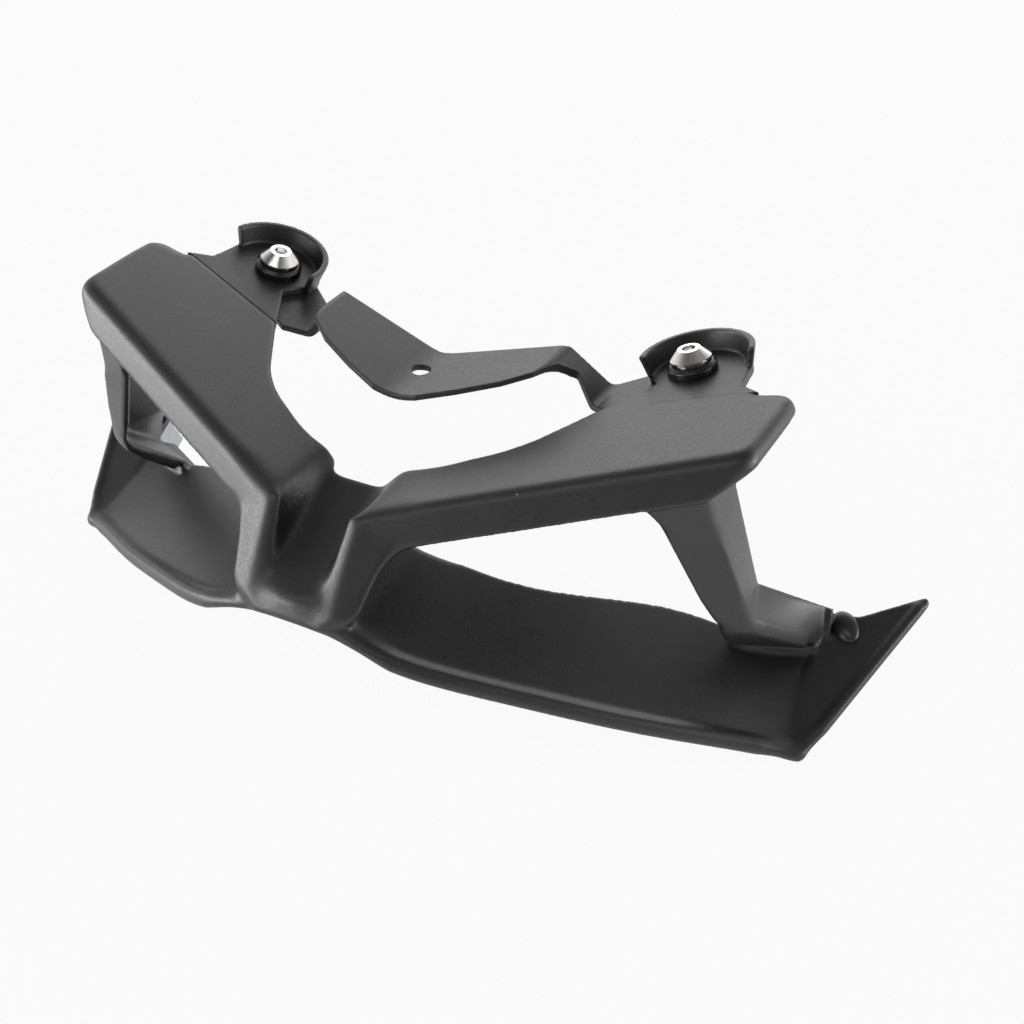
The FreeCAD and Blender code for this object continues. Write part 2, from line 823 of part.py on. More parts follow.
# Strap: bent sheet steel, a shallow vee with risers down to flanges under the ears
def strap_profile():
    """Corners of the bent sheet in the front view, right half of the top then of the underside."""
    fold_z = "(dims.strap_fold_x * tan(dims.strap_rise))"
    flange_keel = "(dims.arm_keel + %s / cos(dims.arm_rise))" % EAR_UNDER
    drop = "(%s + dims.strap_fold_x * tan(dims.riser_angle) - %s)" % (fold_z, flange_keel)
    foot_x = "(%s / (tan(dims.riser_angle) + tan(dims.arm_rise)))" % drop
    foot_z = "(%s + %s * tan(dims.arm_rise))" % (flange_keel, foot_x)
    end_x = "((dims.screw_across + dims.flange_end) * cos(dims.arm_rise))"
    end_z = "(%s + %s * tan(dims.arm_rise))" % (flange_keel, end_x)
    top = [("dims.strap_fold_x", fold_z), (foot_x, foot_z), (end_x, end_z)]

    def below(point, slope_in, slope_out):
        """The corner one sheet below, on the line that halves the bend."""
        across, height = point
        mean = "((%s + %s) / 2)" % (slope_in, slope_out)
        half = "((%s - %s) / 2)" % (slope_in, slope_out)
        reach = "dims.sheet_metal / cos(%s)" % half
        return "%s + %s * sin(%s)" % (across, reach, mean), "%s - %s * cos(%s)" % (height, reach, mean)

    slopes = ["dims.strap_rise", "-dims.riser_angle", "dims.arm_rise", "dims.arm_rise"]
    under = [below(point, slopes[i], slopes[i + 1]) for i, point in enumerate(top)]
    return top, under


def build_strap():
    top, under = strap_profile()
    right = [("0", "0")] + top + under[::-1] + [("0", "-dims.sheet_metal / cos(dims.strap_rise)")]
    left = [("-(%s)" % x, z) for x, z in under + top[::-1]]
    width = "4 * (dims.screw_along + dims.flange_end)"
    body = new_body("strap_bend")
    profile = outline("strap_profile", right + left, FRONT, body)
    sheet_pad = pad_both_ways(body, "strap_sheet", profile, width)

    def runs_along(edge):
        return edge.BoundBox.YLength > cell("screw_along")

    def at_bends(edge):
        return runs_along(edge) and cell("sheet_metal") < abs(edge.CenterOfMass.x) < cell("screw_across")

    def at_vee(edge):
        return runs_along(edge) and abs(edge.CenterOfMass.x) < cell("sheet_metal")

    bends = fillet(body, "strap_bends", sheet_pad, at_bends, "dims.bend_radius")
    fillet(body, "strap_vee", bends, at_vee, "dims.vee_radius")

    blank_body = new_body("strap_blank")
    pad_both_ways(blank_body, "strap_plan", strap_plan(blank_body), width)
    hole = circle("strap_bore", "0", "0", "dims.strap_hole / 2", PLAN, blank_body)
    pocket_through(blank_body, "strap_drill", hole)
    shape = doc.addObject("Part::Common", "strap_shape")
    shape.Base = body
    shape.Tool = blank_body
    doc.recompute()
    cutter = drill("flange_drill", AXIS, "dims.screw_radius", "-2 * dims.flange_end", "2 * dims.flange_end")
    drilled = minus("strap_drilled", shape, cutter)
    return minus("strap", drilled, mirrored("flange_drill_left", cutter))


def strap_plan(body):
    """Outline of the strap from above: a waisted middle, narrow risers and round flanges."""
    screw_x = "dims.screw_across * cos(dims.arm_rise)"
    outer = "%s + dims.flange_end" % screw_x
    rear = "dims.screw_along + dims.flange_end"
    front = "dims.screw_along - dims.flange_end"
    right = [
        ("0", "dims.strap_rear"),
        ("dims.strap_back_x", "dims.strap_back_y"),
        ("dims.riser_back_x", "dims.riser_back_y"),
        ("%s - dims.flange_end" % screw_x, "%s - dims.flange_chamfer" % rear),
        ("%s - dims.flange_chamfer" % screw_x, rear),
        ("%s - dims.flange_chamfer" % outer, rear),
        (outer, "%s - dims.flange_chamfer" % rear),
        (outer, "%s + dims.flange_chamfer" % front),
        ("%s - dims.flange_chamfer" % outer, front),
        ("dims.riser_front_x", "dims.riser_front_y"),
        ("dims.riser_neck_x", "dims.riser_neck_y"),
        ("dims.strap_tip_x", "dims.strap_tip_y"),
        ("dims.strap_side_x", "dims.strap_side_y"),
        ("dims.strap_bow_x", "dims.strap_bow_y"),
        ("dims.strap_sweep_x", "dims.strap_sweep_y"),
        ("dims.strap_flat_half", "dims.strap_front"),
    ]
    left = [("-(%s)" % x, y) for x, y in reversed(right[1:])]
    return outline("strap_outline", right + left, PLAN, body)


# Screw, grommet and nut share the axis through the ear, so each is turned about it
AXIS = moved(ARM, "dims.screw_across", "dims.screw_along", "0")
HEAD_SEAT = "(%s + dims.grommet_above)" % EAR_TOP
FLANGE_UNDER = "(%s - dims.sheet_metal)" % EAR_UNDER


def build_screw():
    body = new_body("right_screw", AXIS)
    tip = "%s - dims.nut_height - dims.screw_spare" % FLANGE_UNDER
    crown = "%s + dims.head_height" % HEAD_SEAT
    profile = outline("screw_profile", [
        ("0", tip),
        ("dims.screw_radius", tip),
        ("dims.screw_radius", HEAD_SEAT),
        ("dims.head_radius", HEAD_SEAT),
        ("dims.head_radius", "%s + dims.head_rim" % HEAD_SEAT),
        ("dims.head_flat", crown),
        ("0", crown),
    ], FRONT, body)
    revolve(body, "screw_turned", profile)
    socket = hexagon("screw_socket", "dims.socket_across", lifted(PLAN, crown), body)
    cut = feature_of(body, "Pocket", "screw_hex", socket)
    cut.setExpression("Length", "dims.socket_depth")
    doc.recompute()
    return body


def build_grommet():
    body = new_body("right_grommet", AXIS)
    profile = outline("grommet_profile", [
        ("dims.screw_radius", EAR_UNDER),
        ("dims.grommet_neck", EAR_UNDER),
        ("dims.grommet_neck", EAR_TOP),
        ("dims.grommet_radius", EAR_TOP),
        ("dims.grommet_radius", "%s - dims.grommet_round" % HEAD_SEAT),
        ("dims.grommet_radius - dims.grommet_round", HEAD_SEAT),
        ("dims.screw_radius", HEAD_SEAT),
    ], FRONT, body)
    revolve(body, "grommet_turned", profile)
    return body


def build_nut():
    body = new_body("right_nut", AXIS)
    block = hexagon("nut_hex", "dims.nut_across", lifted(PLAN, FLANGE_UNDER), body)
    pad(body, "nut_block", block, "dims.nut_height")
    pocket_through(body, "nut_bore", circle("nut_hole", "0", "0", "dims.screw_radius", PLAN, body))
    return body


# Rivet and clip hold the leg's end at the end plate
FIN_UNDER = "(-dims.fin_wall)"


def build_rivet():
    body = new_body("right_rivet", RIVET)
    tip = "%s - dims.clip_sheet - dims.rivet_spare" % FIN_UNDER
    profile = outline("rivet_profile", [
        ("0", tip),
        ("dims.rivet_shank", tip),
        ("dims.rivet_shank", "0"),
        ("dims.rivet_radius", "0"),
        ("dims.rivet_radius", "dims.rivet_rim"),
        ("dims.rivet_crown", "dims.rivet_dome"),
        ("0", "dims.rivet_dome"),
    ], FRONT, body)
    revolve(body, "rivet_turned", profile)
    return body


def build_clip():
    """Angle clip: a leaf under the end plate and a leaf that hangs down at its inner edge."""
    body = new_body("right_clip", RIVET)
    inner = "-dims.clip_width / 2"
    bend = "%s + dims.clip_sheet" % inner
    leaf = outline("clip_leaf", [
        (inner, "-dims.clip_front"),
        ("dims.clip_width / 2", "-dims.clip_front"),
        ("dims.clip_width / 2", "dims.clip_rear"),
        (inner, "dims.clip_rear"),
    ], lifted(PLAN, FIN_UNDER), body)
    pad(body, "clip_leaf_pad", leaf, "dims.clip_sheet")
    tail = outline("clip_tail_leaf", [
        (inner, "-dims.clip_front"),
        (bend, "-dims.clip_front"),
        (bend, "dims.clip_rear"),
        (inner, "dims.clip_rear"),
    ], lifted(PLAN, FIN_UNDER), body)
    pad(body, "clip_tail_pad", tail, "dims.clip_sheet + dims.clip_tail")
    pocket_through(body, "clip_bore", circle("clip_hole", "0", "0", "dims.rivet_shank", PLAN, body))
    return body


def build_spoiler():
    """The moulding: one half fused and mirrored about the nose, then the channel and plug recesses cut."""
    pieces = [build_arm(), build_blade(), build_blade_root(), build_fin(), build_ledge()]
    pieces += [build_cheek(), *build_post()]
    fused = joined("right_fused", pieces)
    recess = drill("plug_recess", RIVET, "dims.rivet_radius + dims.recess_gap", "0", "2 * dims.foot_height")
    shank_hole = drill("plug_hole", RIVET, "dims.rivet_shank", "2 * %s" % FIN_UNDER, "dims.fin_wall")
    right_half = minus("right_half", minus("right_recessed", fused, recess), shank_hole)
    whole = joined("whole_body", [build_nose(), right_half, mirrored("left_half", right_half)])
    return minus("spoiler_body", whole, build_channel())


right_ear = build_ear()
pieces = [build_spoiler(), right_ear, mirrored("left_ear", right_ear), build_strap()]
for build_piece in (build_screw, build_grommet, build_nut, build_rivet, build_clip):
    right_piece = build_piece()
    pieces += [right_piece, mirrored(right_piece.Name.replace("right", "left"), right_piece)]

for thing in doc.Objects:
    if "Invalid" in thing.State or "Error" in thing.State:
        raise RuntimeError("%s did not build: %s" % (thing.Name, thing.State))
for piece in pieces:
    piece.Label = piece.Name
    if piece.Shape.isNull() or not piece.Shape.isValid() or len(piece.Shape.Solids) != 1:
        raise RuntimeError("%s is not one sound solid" % piece.Name)

os.makedirs("parts", exist_ok=True)
for piece in pieces:
    piece.Shape.exportStep("parts/%s.step" % piece.Label)
    print(piece.Label, round(piece.Shape.Volume), "cubic mm")
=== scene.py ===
import math

import bmesh
import bpy
from mathutils import Matrix, Vector


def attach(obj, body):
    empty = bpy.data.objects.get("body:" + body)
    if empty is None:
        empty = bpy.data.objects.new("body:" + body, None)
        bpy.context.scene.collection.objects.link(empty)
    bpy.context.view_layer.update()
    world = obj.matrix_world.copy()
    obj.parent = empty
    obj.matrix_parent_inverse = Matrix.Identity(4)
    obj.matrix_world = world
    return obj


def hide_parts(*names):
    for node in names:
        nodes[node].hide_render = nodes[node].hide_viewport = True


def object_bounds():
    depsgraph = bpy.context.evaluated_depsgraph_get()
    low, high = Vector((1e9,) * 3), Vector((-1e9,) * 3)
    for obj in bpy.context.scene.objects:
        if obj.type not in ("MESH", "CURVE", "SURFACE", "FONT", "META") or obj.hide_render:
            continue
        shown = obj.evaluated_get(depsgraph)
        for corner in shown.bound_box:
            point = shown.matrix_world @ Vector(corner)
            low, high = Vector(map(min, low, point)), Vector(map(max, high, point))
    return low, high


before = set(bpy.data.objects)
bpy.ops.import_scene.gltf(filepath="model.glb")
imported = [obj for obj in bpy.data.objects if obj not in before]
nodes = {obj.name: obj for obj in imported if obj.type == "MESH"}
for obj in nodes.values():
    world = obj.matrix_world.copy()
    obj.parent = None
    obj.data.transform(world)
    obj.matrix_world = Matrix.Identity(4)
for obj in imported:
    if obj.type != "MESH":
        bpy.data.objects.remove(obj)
cad_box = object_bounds()
scene = bpy.context.scene
MM = 0.001

# The photograph's view: azimuth, elevation and distance of the camera from the point it looks at
AZIMUTH = math.radians(27.75)
ELEVATION = math.radians(34.0)
AIM = Vector((0.0302, 0.0066, -0.0500))
VIEW_DISTANCE = 0.5547
LENS_MM = 57.16
SENSOR_MM = 36.0

# The white floor: size, gap under the part, and share of its own white that the camera sees
FLOOR_SIZE = 12.0
FLOOR_GAP = 0.002
FLOOR_WHITE = 0.93

# The level of the fill light from all round
FILL_LEVEL = 0.08

# Softboxes: place, point that they face, width and height, all in metres, and watts
SOFTBOXES = {
    "rear": ((-0.35, 1.05, 0.60), (0, 0, 0), (1.4, 0.7), 4.9),
    "left_low": ((-0.95, -0.68, 0.07), (0, 0, -0.03), (1.6, 0.30), 16.5),
    "right_low": ((1.1, 0.35, 0.12), (0, 0, -0.03), (1.0, 0.4), 8.0),
    "front_top": ((0.0, -0.75, 0.90), (0, 0, -0.03), (1.0, 0.3), 1.9),
}

# Plastic, coat and rubber: a dark and a light tone, a low and a high roughness, and the plastic's sheen
PLASTIC_TONES = ((0.012, 0.012, 0.0125), (0.017, 0.017, 0.0175))
PLASTIC_ROUGH = (0.38, 0.48)
PLASTIC_SHEEN = 0.65
PLUG_TONES = ((0.012, 0.012, 0.013), (0.018, 0.018, 0.019))
PLUG_ROUGH = (0.30, 0.40)
COAT_TONES = ((0.020, 0.020, 0.021), (0.028, 0.028, 0.029))
COAT_ROUGH = (0.36, 0.46)
RUBBER_TONES = ((0.008, 0.008, 0.008), (0.014, 0.014, 0.014))
RUBBER_ROUGH = (0.22, 0.34)

# Metals: tone, a low and a high roughness, and the share of the tone that is left in wipe marks
STAINLESS_TONE = (0.78, 0.755, 0.735)
STAINLESS_ROUGH = (0.10, 0.20)
ZINC_TONE = (0.45, 0.46, 0.47)
ZINC_ROUGH = (0.30, 0.45)
WIPED_SHARE = 0.9

# The middle range of a noise texture, where most of its values lie
NOISE_LOW = 0.3
NOISE_HIGH = 0.7

# Softening of the moulded and bent pieces: voxel size in metres, rounds of smoothing, share of faces kept
BODY_SKIN = (0.00048, 30, 0.18)
EAR_SKIN = (0.0003, 12, 0.35)
STRAP_SKIN = (0.00025, 10, 0.28)
SMALL_SKIN = (0.0002, 5, 0.5)

# Corners of a node's facets that lie closer than this, in metres, become one
NODE_WELD = 1e-6

# The nose is rounder than the rest of the moulding: half width and rear end of that region, in metres
NOSE_HALF = 0.026
NOSE_REAR = -0.027

# Corners of the right half that are rounder too: centre and reach, in millimetres
SOFT_SPOTS = {
    "blade_corner": ((144.0, -14.5, -97.0), 5.0),
    "post_foot": ((119.0, -17.5, -50.0), 6.0),
    "post_top": ((114.8, -25.0, -9.0), 4.0),
}

# Rounds of smoothing for the nose and these corners, and the width in metres over which they fade out
ROUNDER_ROUNDS = 220
ROUNDER_FADE = 0.008

# The flat along the right ridge of the nose: a point on it in millimetres and the way it faces, then
# how far from the middle it starts, the width over which it deepens and how far out it ends, in metres
RIDGE_POINT = (14.0, -66.3, -15.3)
RIDGE_FACE = Vector((-0.314, -0.783, 0.537))
RIDGE_INNER = 0.005
RIDGE_FADE = 0.007
RIDGE_REACH = 0.022

# The arms' sloping plane, and how their end walls tuck under it: lengths in metres
ARM_RISE = math.radians(15.0)
ARM_KEEL = -0.017
ARM_REACH = 0.1325
TUCK_START = 0.003
TUCK_SLOPE = 2.2
TUCK_INNER = 0.112
TUCK_LOWEST = 0.022
TUCK_KEPT = 0.3

# Turned pieces: sides of a ring, the angle from which an edge stays sharp, and the weld on the axis in metres
TURNED_SIDES = 96
SHARP_ANGLE = math.radians(25.0)
RING_WELD = 1e-7

# Screws, in metres: the head stands a little above its rubber ring, on a collar
SCREW_RADIUS = 0.003
HEAD_RADIUS = 0.0069
HEAD_RIM = 0.0007
HEAD_BREAK = 0.0002
HEAD_FLAT = 0.0038
HEAD_LIFT = 0.0009
COLLAR_RADIUS = 0.0055
SOCKET_HALF = 0.0022
SOCKET_DEPTH = 0.0024

# Plugs, in metres, with the slope of the end plates that hold them and their length as a share of their width
FIN_SLOPE = math.radians(29.0)
PLUG_RADIUS = 0.0042
PLUG_SHANK = 0.0025
PLUG_RIM = 0.0006
PLUG_DOME = 0.0030
PLUG_STEPS = 8
PLUG_OVAL = 1.45

# Rounded rods of plastic on the right half: two ends and a radius, in millimetres
ROD_SIDES = 24
RODS = {
    "fin_rim": ((145.2, -12.2, -96.3), (164.3, 40.7, -66.6), 2.2),
    "fin_corner": ((141.0, -13.9, -96.6), (145.0, -12.6, -96.5), 2.8),
    "post_edge": ((98.7, -30.3, -7.0), (115.3, -19.2, -48.5), 1.6),
    "foot_bar": ((112.8, 7.8, -77.0), (137.2, 19.4, -78.5), 2.0),
    "leg_end": ((138.6, 26.2, -67.8), (139.2, 23.6, -74.0), 1.5),
    "ridge": ((14.2, -65.8, -15.6), (12.9, -79.4, -36.2), 2.8),
    "chin": ((0.0, -80.9, -39.6), (12.6, -80.6, -39.4), 3.2),
    "nose_foot": ((7.0, -82.4, -44.3), (23.0, -82.0, -47.9), 2.2),
    "cheek_rim_upper": ((26.0, -68.2, -25.0), (24.5, -71.4, -29.2), 1.4),
    "cheek_rim_lower": ((24.5, -71.4, -29.2), (22.4, -79.0, -39.5), 1.4),
}

# Webs of plastic on the right half, each the hull of a few corners, in millimetres
WEBS = {
    "post_brow": (
        (95.5, -36.2, -3.6), (95.5, -33.0, -2.6), (114.0, -28.0, 3.2), (114.0, -24.0, 3.2),
        (102.0, -29.9, -14.5), (102.5, -27.5, -14.0), (115.9, -23.2, -18.5), (115.2, -21.0, -18.5),
    ),
    "arm_root": (
        (14.6, -43.0, -13.6), (14.2, -34.4, -13.5), (21.5, -33.3, -11.9), (22.0, -41.0, -11.7),
        (11.4, -43.0, -19.6), (10.4, -34.6, -17.8), (21.5, -33.3, -15.0), (22.0, -41.0, -15.0),
        (8.8, -37.5, -19.6),
    ),
    "leg_keel": (
        (115.6, -20.2, -46.0), (124.4, -15.1, -46.0), (135.8, 15.5, -71.0), (113.5, 7.0, -73.0),
        (115.7, -18.2, -55.5), (125.3, -14.6, -53.0), (136.4, 12.6, -74.2), (114.0, 4.5, -75.0),
    ),
}


# Material helpers
def new_material(name):
    material = bpy.data.materials.new(name)
    material.use_nodes = True
    tree = material.node_tree
    shader = tree.nodes["Principled BSDF"]
    return material, tree, shader


def add_node(tree, kind, **sockets):
    node = tree.nodes.new(kind)
    for key, value in sockets.items():
        node.inputs[key.replace("_", " ")].default_value = value
    return node


def noise(tree, scale, detail=2.0):
    place = tree.nodes.new("ShaderNodeTexCoord")
    texture = add_node(tree, "ShaderNodeTexNoise", Scale=scale, Detail=detail, Roughness=0.5)
    tree.links.new(place.outputs["Object"], texture.inputs["Vector"])
    return texture.outputs["Fac"]


def ranged(tree, value, start, stop, low, high):
    """Map a value that runs from start to stop onto the range from low to high, held at its ends."""
    node = tree.nodes.new("ShaderNodeMapRange")
    for socket, number in zip(("From Min", "From Max", "To Min", "To Max"), (start, stop, low, high)):
        node.inputs[socket].default_value = number
    tree.links.new(value, node.inputs["Value"])
    return node.outputs["Result"]


def two_tone(tree, factor, dark, light):
    ramp = tree.nodes.new("ShaderNodeValToRGB")
    ramp.color_ramp.elements[0].position = NOISE_LOW
    ramp.color_ramp.elements[0].color = (*dark, 1)
    ramp.color_ramp.elements[1].position = NOISE_HIGH
    ramp.color_ramp.elements[1].color = (*light, 1)
    tree.links.new(factor, ramp.inputs["Fac"])
    return ramp.outputs["Color"]


def vary(tree, shader, tones, tone_scale, rough, rough_scale, rough_detail=2.0):
    """Let a material's tone and gloss change over its surface, each at its own scale."""
    tone = two_tone(tree, noise(tree, tone_scale), *tones)
    gloss = ranged(tree, noise(tree, rough_scale, rough_detail), NOISE_LOW, NOISE_HIGH, *rough)
    tree.links.new(tone, shader.inputs["Base Color"])
    tree.links.new(gloss, shader.inputs["Roughness"])


def bump(tree, shader, height, strength, distance):
    node = add_node(tree, "ShaderNodeBump", Strength=strength, Distance=distance)
    tree.links.new(height, node.inputs["Height"])
    tree.links.new(node.outputs["Normal"], shader.inputs["Normal"])


def combined(tree, operation, first, second):
    """The product or the larger of two values, each a socket or a number."""
    node = tree.nodes.new("ShaderNodeMath")
    node.operation = operation
    for socket, value in zip(node.inputs, (first, second)):
        if isinstance(value, float):
            socket.default_value = value
        else:
            tree.links.new(value, socket)
    return node.outputs[0]


def place_along(tree, coordinates):
    """The three parts of a place or a direction."""
    place = tree.nodes.new("ShaderNodeTexCoord")
    parts = tree.nodes.new("ShaderNodeSeparateXYZ")
    tree.links.new(place.outputs[coordinates], parts.inputs["Vector"])
    return parts.outputs


def seen_white(tree, glossy_level):
    """1 for the camera and through glass, a given level for reflections and 0 for other light."""
    path = tree.nodes.new("ShaderNodeLightPath").outputs
    direct = combined(tree, "MAXIMUM", path["Is Camera Ray"], path["Is Transmission Ray"])
    mirrored = combined(tree, "MULTIPLY", path["Is Glossy Ray"], glossy_level)
    return combined(tree, "MAXIMUM", direct, mirrored)


# Materials
def grained_plastic(name, tones, rough, grain_scale, grain_strength):
    """Black moulded plastic: a fine spark grain, with slow changes of tone and gloss."""
    material, tree, shader = new_material(name)
    vary(tree, shader, tones, tone_scale=45.0, rough=rough, rough_scale=grain_scale * 0.5)
    shader.inputs["Specular IOR Level"].default_value = PLASTIC_SHEEN
    bump(tree, shader, noise(tree, grain_scale, detail=3.0), strength=grain_strength, distance=0.0002)
    return material


def powder_coat(name):
    """Satin black coat on sheet steel, with a slight orange peel."""
    material, tree, shader = new_material(name)
    vary(tree, shader, COAT_TONES, tone_scale=60.0, rough=COAT_ROUGH, rough_scale=900.0)
    bump(tree, shader, noise(tree, 1400.0), strength=0.06, distance=0.0002)
    return material


def bright_metal(name, tone, rough, scratch):
    """Metal with faint wipe marks in its polish."""
    material, tree, shader = new_material(name)
    shader.inputs["Metallic"].default_value = 1.0
    wiped = tuple(value * WIPED_SHARE for value in tone)
    vary(tree, shader, (wiped, tone), tone_scale=400.0, rough=rough, rough_scale=1500.0, rough_detail=4.0)
    bump(tree, shader, noise(tree, 2500.0, detail=4.0), strength=scratch, distance=0.0001)
    return material


def black_rubber(name):
    """Black rubber with a fine uneven skin."""
    material, tree, shader = new_material(name)
    vary(tree, shader, RUBBER_TONES, tone_scale=300.0, rough=RUBBER_ROUGH, rough_scale=700.0)
    bump(tree, shader, noise(tree, 1800.0), strength=0.04, distance=0.0002)
    return material


BODY = grained_plastic("body_plastic", PLASTIC_TONES, PLASTIC_ROUGH, grain_scale=2600.0, grain_strength=0.22)
EAR = grained_plastic("ear_plastic", PLASTIC_TONES, PLASTIC_ROUGH, grain_scale=2600.0, grain_strength=0.18)
PLUG = grained_plastic("plug_plastic", PLUG_TONES, PLUG_ROUGH, grain_scale=1500.0, grain_strength=0.05)
COAT = powder_coat("strap_coat")
STAINLESS = bright_metal("stainless", STAINLESS_TONE, STAINLESS_ROUGH, scratch=0.02)
ZINC = bright_metal("zinc", ZINC_TONE, ZINC_ROUGH, scratch=0.06)
RUBBER = black_rubber("rubber")


# Helpers for all pieces
def set_material(obj, material):
    obj.data.materials.clear()
    obj.data.materials.append(material)


def show_as(obj, node):
    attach(obj, "root")
    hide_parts(node)


def shade_smooth(mesh):
    mesh.polygons.foreach_set("use_smooth", [True] * len(mesh.polygons))


def on_side(point, side):
    """A point or direction of the right half, or its mirror image where side is -1."""
    return Vector((point[0] * side, point[1], point[2]))


# Softened pieces, made from copies of the frame's own nodes
def baked(obj):
    """Put the result of an object's modifiers in place of its mesh."""
    shaped = bpy.data.meshes.new_from_object(obj.evaluated_get(bpy.context.evaluated_depsgraph_get()))
    obj.modifiers.clear()
    obj.data = shaped


def add_smoothing(obj, rounds, group=""):
    smooth = obj.modifiers.new("round", "SMOOTH")
    smooth.factor = 0.5
    smooth.iterations = rounds
    smooth.vertex_group = group


def softened(node, material, skin, forms=None, reshape=None):
    """A copy of a node with its edges rounded as a mould or a press rounds them."""
    voxel, rounds, kept = skin
    mesh = nodes[node].data.copy()
    work = bmesh.new()
    work.from_mesh(mesh)
    bmesh.ops.remove_doubles(work, verts=work.verts, dist=NODE_WELD)
    if forms:
        forms(work)
    work.to_mesh(mesh)
    work.free()
    obj = bpy.data.objects.new(node + "_shell", mesh)
    scene.collection.objects.link(obj)
    remesh = obj.modifiers.new("skin", "REMESH")
    remesh.mode = "VOXEL"
    remesh.voxel_size = voxel
    baked(obj)
    if reshape:
        reshape(obj)
    add_smoothing(obj, rounds)
    decimate = obj.modifiers.new("thin_out", "DECIMATE")
    decimate.ratio = kept
    baked(obj)
    shade_smooth(obj.data)
    set_material(obj, material)
    show_as(obj, node)


# The moulding's own rims, webs and flats
def add_rod(work, start, end, radius):
    """A rod with ball ends, for the skin to take in."""
    middle = (start + end) / 2
    turn = (end - start).to_track_quat("Z", "Y").to_matrix().to_4x4()
    bmesh.ops.create_cone(
        work, cap_ends=True, segments=ROD_SIDES, radius1=radius, radius2=radius, depth=(end - start).length,
        matrix=Matrix.Translation(middle) @ turn)
    for place in (start, end):
        bmesh.ops.create_uvsphere(
            work, u_segments=ROD_SIDES, v_segments=ROD_SIDES // 2, radius=radius,
            matrix=Matrix.Translation(place))


def add_web(work, corners):
    """The hull of a few corners, for the skin to take in."""
    verts = [work.verts.new(corner) for corner in corners]
    bmesh.ops.convex_hull(work, input=verts)


def add_body_forms(work):
    """Round rims and corners of the moulding, the same on both sides."""
    for side in (1, -1):
        for start, end, radius in RODS.values():
            add_rod(work, on_side(start, side) * MM, on_side(end, side) * MM, radius * MM)
        for corners in WEBS.values():
            add_web(work, [on_side(corner, side) * MM for corner in corners])


def tuck_arm_ends(obj):
    """Draw the arms' end walls in under their tops."""
    rise_cos = math.cos(ARM_RISE)
    rise_sin = math.sin(ARM_RISE)
    for vertex in obj.data.vertices:
        side = math.copysign(1.0, vertex.co.x)
        across = abs(vertex.co.x) * rise_cos + (vertex.co.z - ARM_KEEL) * rise_sin
        depth = abs(vertex.co.x) * rise_sin - (vertex.co.z - ARM_KEEL) * rise_cos
        limit = max(TUCK_INNER, ARM_REACH - TUCK_SLOPE * max(depth - TUCK_START, 0.0))
        if depth < TUCK_LOWEST and across > limit:
            shift = (across - limit) * (TUCK_KEPT - 1.0)
            vertex.co.x += side * shift * rise_cos
            vertex.co.z += shift * rise_sin


def bevel_ridges(obj):
    """Cut a flat along each ridge of the nose, fading out towards the middle."""
    point = Vector(RIDGE_POINT) * MM
    for vertex in obj.data.vertices:
        side = math.copysign(1.0, vertex.co.x)
        place = on_side(vertex.co, side)
        excess = (place - point).dot(RIDGE_FACE)
        if excess > 0 and RIDGE_INNER < place.x < RIDGE_REACH:
            share = min((place.x - RIDGE_INNER) / RIDGE_FADE, 1.0)
            vertex.co -= on_side(RIDGE_FACE * excess * share, side)


def fade(distance):
    """1 inside a rounder region, 0 beyond its fading border."""
    return min(max(1.0 - distance / ROUNDER_FADE, 0.0), 1.0)


def round_more(obj):
    """Round the nose and a few corners more than the thin arms and blades."""
    spots = [(Vector(centre) * MM, reach * MM) for centre, reach in SOFT_SPOTS.values()]
    group = obj.vertex_groups.new(name="rounder")
    for vertex in obj.data.vertices:
        place = on_side(vertex.co, math.copysign(1.0, vertex.co.x))
        weight = fade(place.x - NOSE_HALF) * fade(place.y - NOSE_REAR)
        for centre, reach in spots:
            weight = max(weight, fade((place - centre).length - reach))
        if weight > 0:
            group.add([vertex.index], weight, "REPLACE")
    add_smoothing(obj, ROUNDER_ROUNDS, group.name)


def shape_body(obj):
    """The changes that the moulding alone gets, before it is smoothed."""
    tuck_arm_ends(obj)
    bevel_ridges(obj)
    round_more(obj)


# Turned pieces, whose profiles run up along the axis of the node that they show
def axis_of(node):
    """Unit axis of a turned node: square to the arm for screws, to the end plate for plugs."""
    side = 1 if node.startswith("right") else -1
    if node.endswith("rivet"):
        return Vector((0, -math.sin(FIN_SLOPE), math.cos(FIN_SLOPE)))
    return Vector((-side * math.sin(ARM_RISE), 0, math.cos(ARM_RISE)))


def span_along(node, axis):
    """Lowest and highest place of a node along an axis."""
    heights = [vertex.co.dot(axis) for vertex in nodes[node].data.vertices]
    return min(heights), max(heights)


def screw_profile(side):
    """Shank, collar and cone head with a flat and a hexagon socket: radius, height and if six sided."""
    axis = axis_of(side + "_screw")
    tip, crown = span_along(side + "_screw", axis)
    ring_top = span_along(side + "_grommet", axis)[1]
    seat = ring_top + HEAD_LIFT
    round_part = [
        (0, tip), (SCREW_RADIUS, tip), (SCREW_RADIUS, ring_top),
        (COLLAR_RADIUS, ring_top), (COLLAR_RADIUS, seat), (HEAD_RADIUS, seat),
        (HEAD_RADIUS, seat + HEAD_RIM), (HEAD_RADIUS - HEAD_BREAK, seat + HEAD_RIM + HEAD_BREAK),
        (HEAD_FLAT + HEAD_BREAK, crown - HEAD_BREAK), (HEAD_FLAT, crown),
    ]
    socket = [(SOCKET_HALF, crown), (SOCKET_HALF, crown - SOCKET_DEPTH), (0, crown - SOCKET_DEPTH)]
    return [(radius, height, False) for radius, height in round_part] + [
        (radius, height, True) for radius, height in socket]


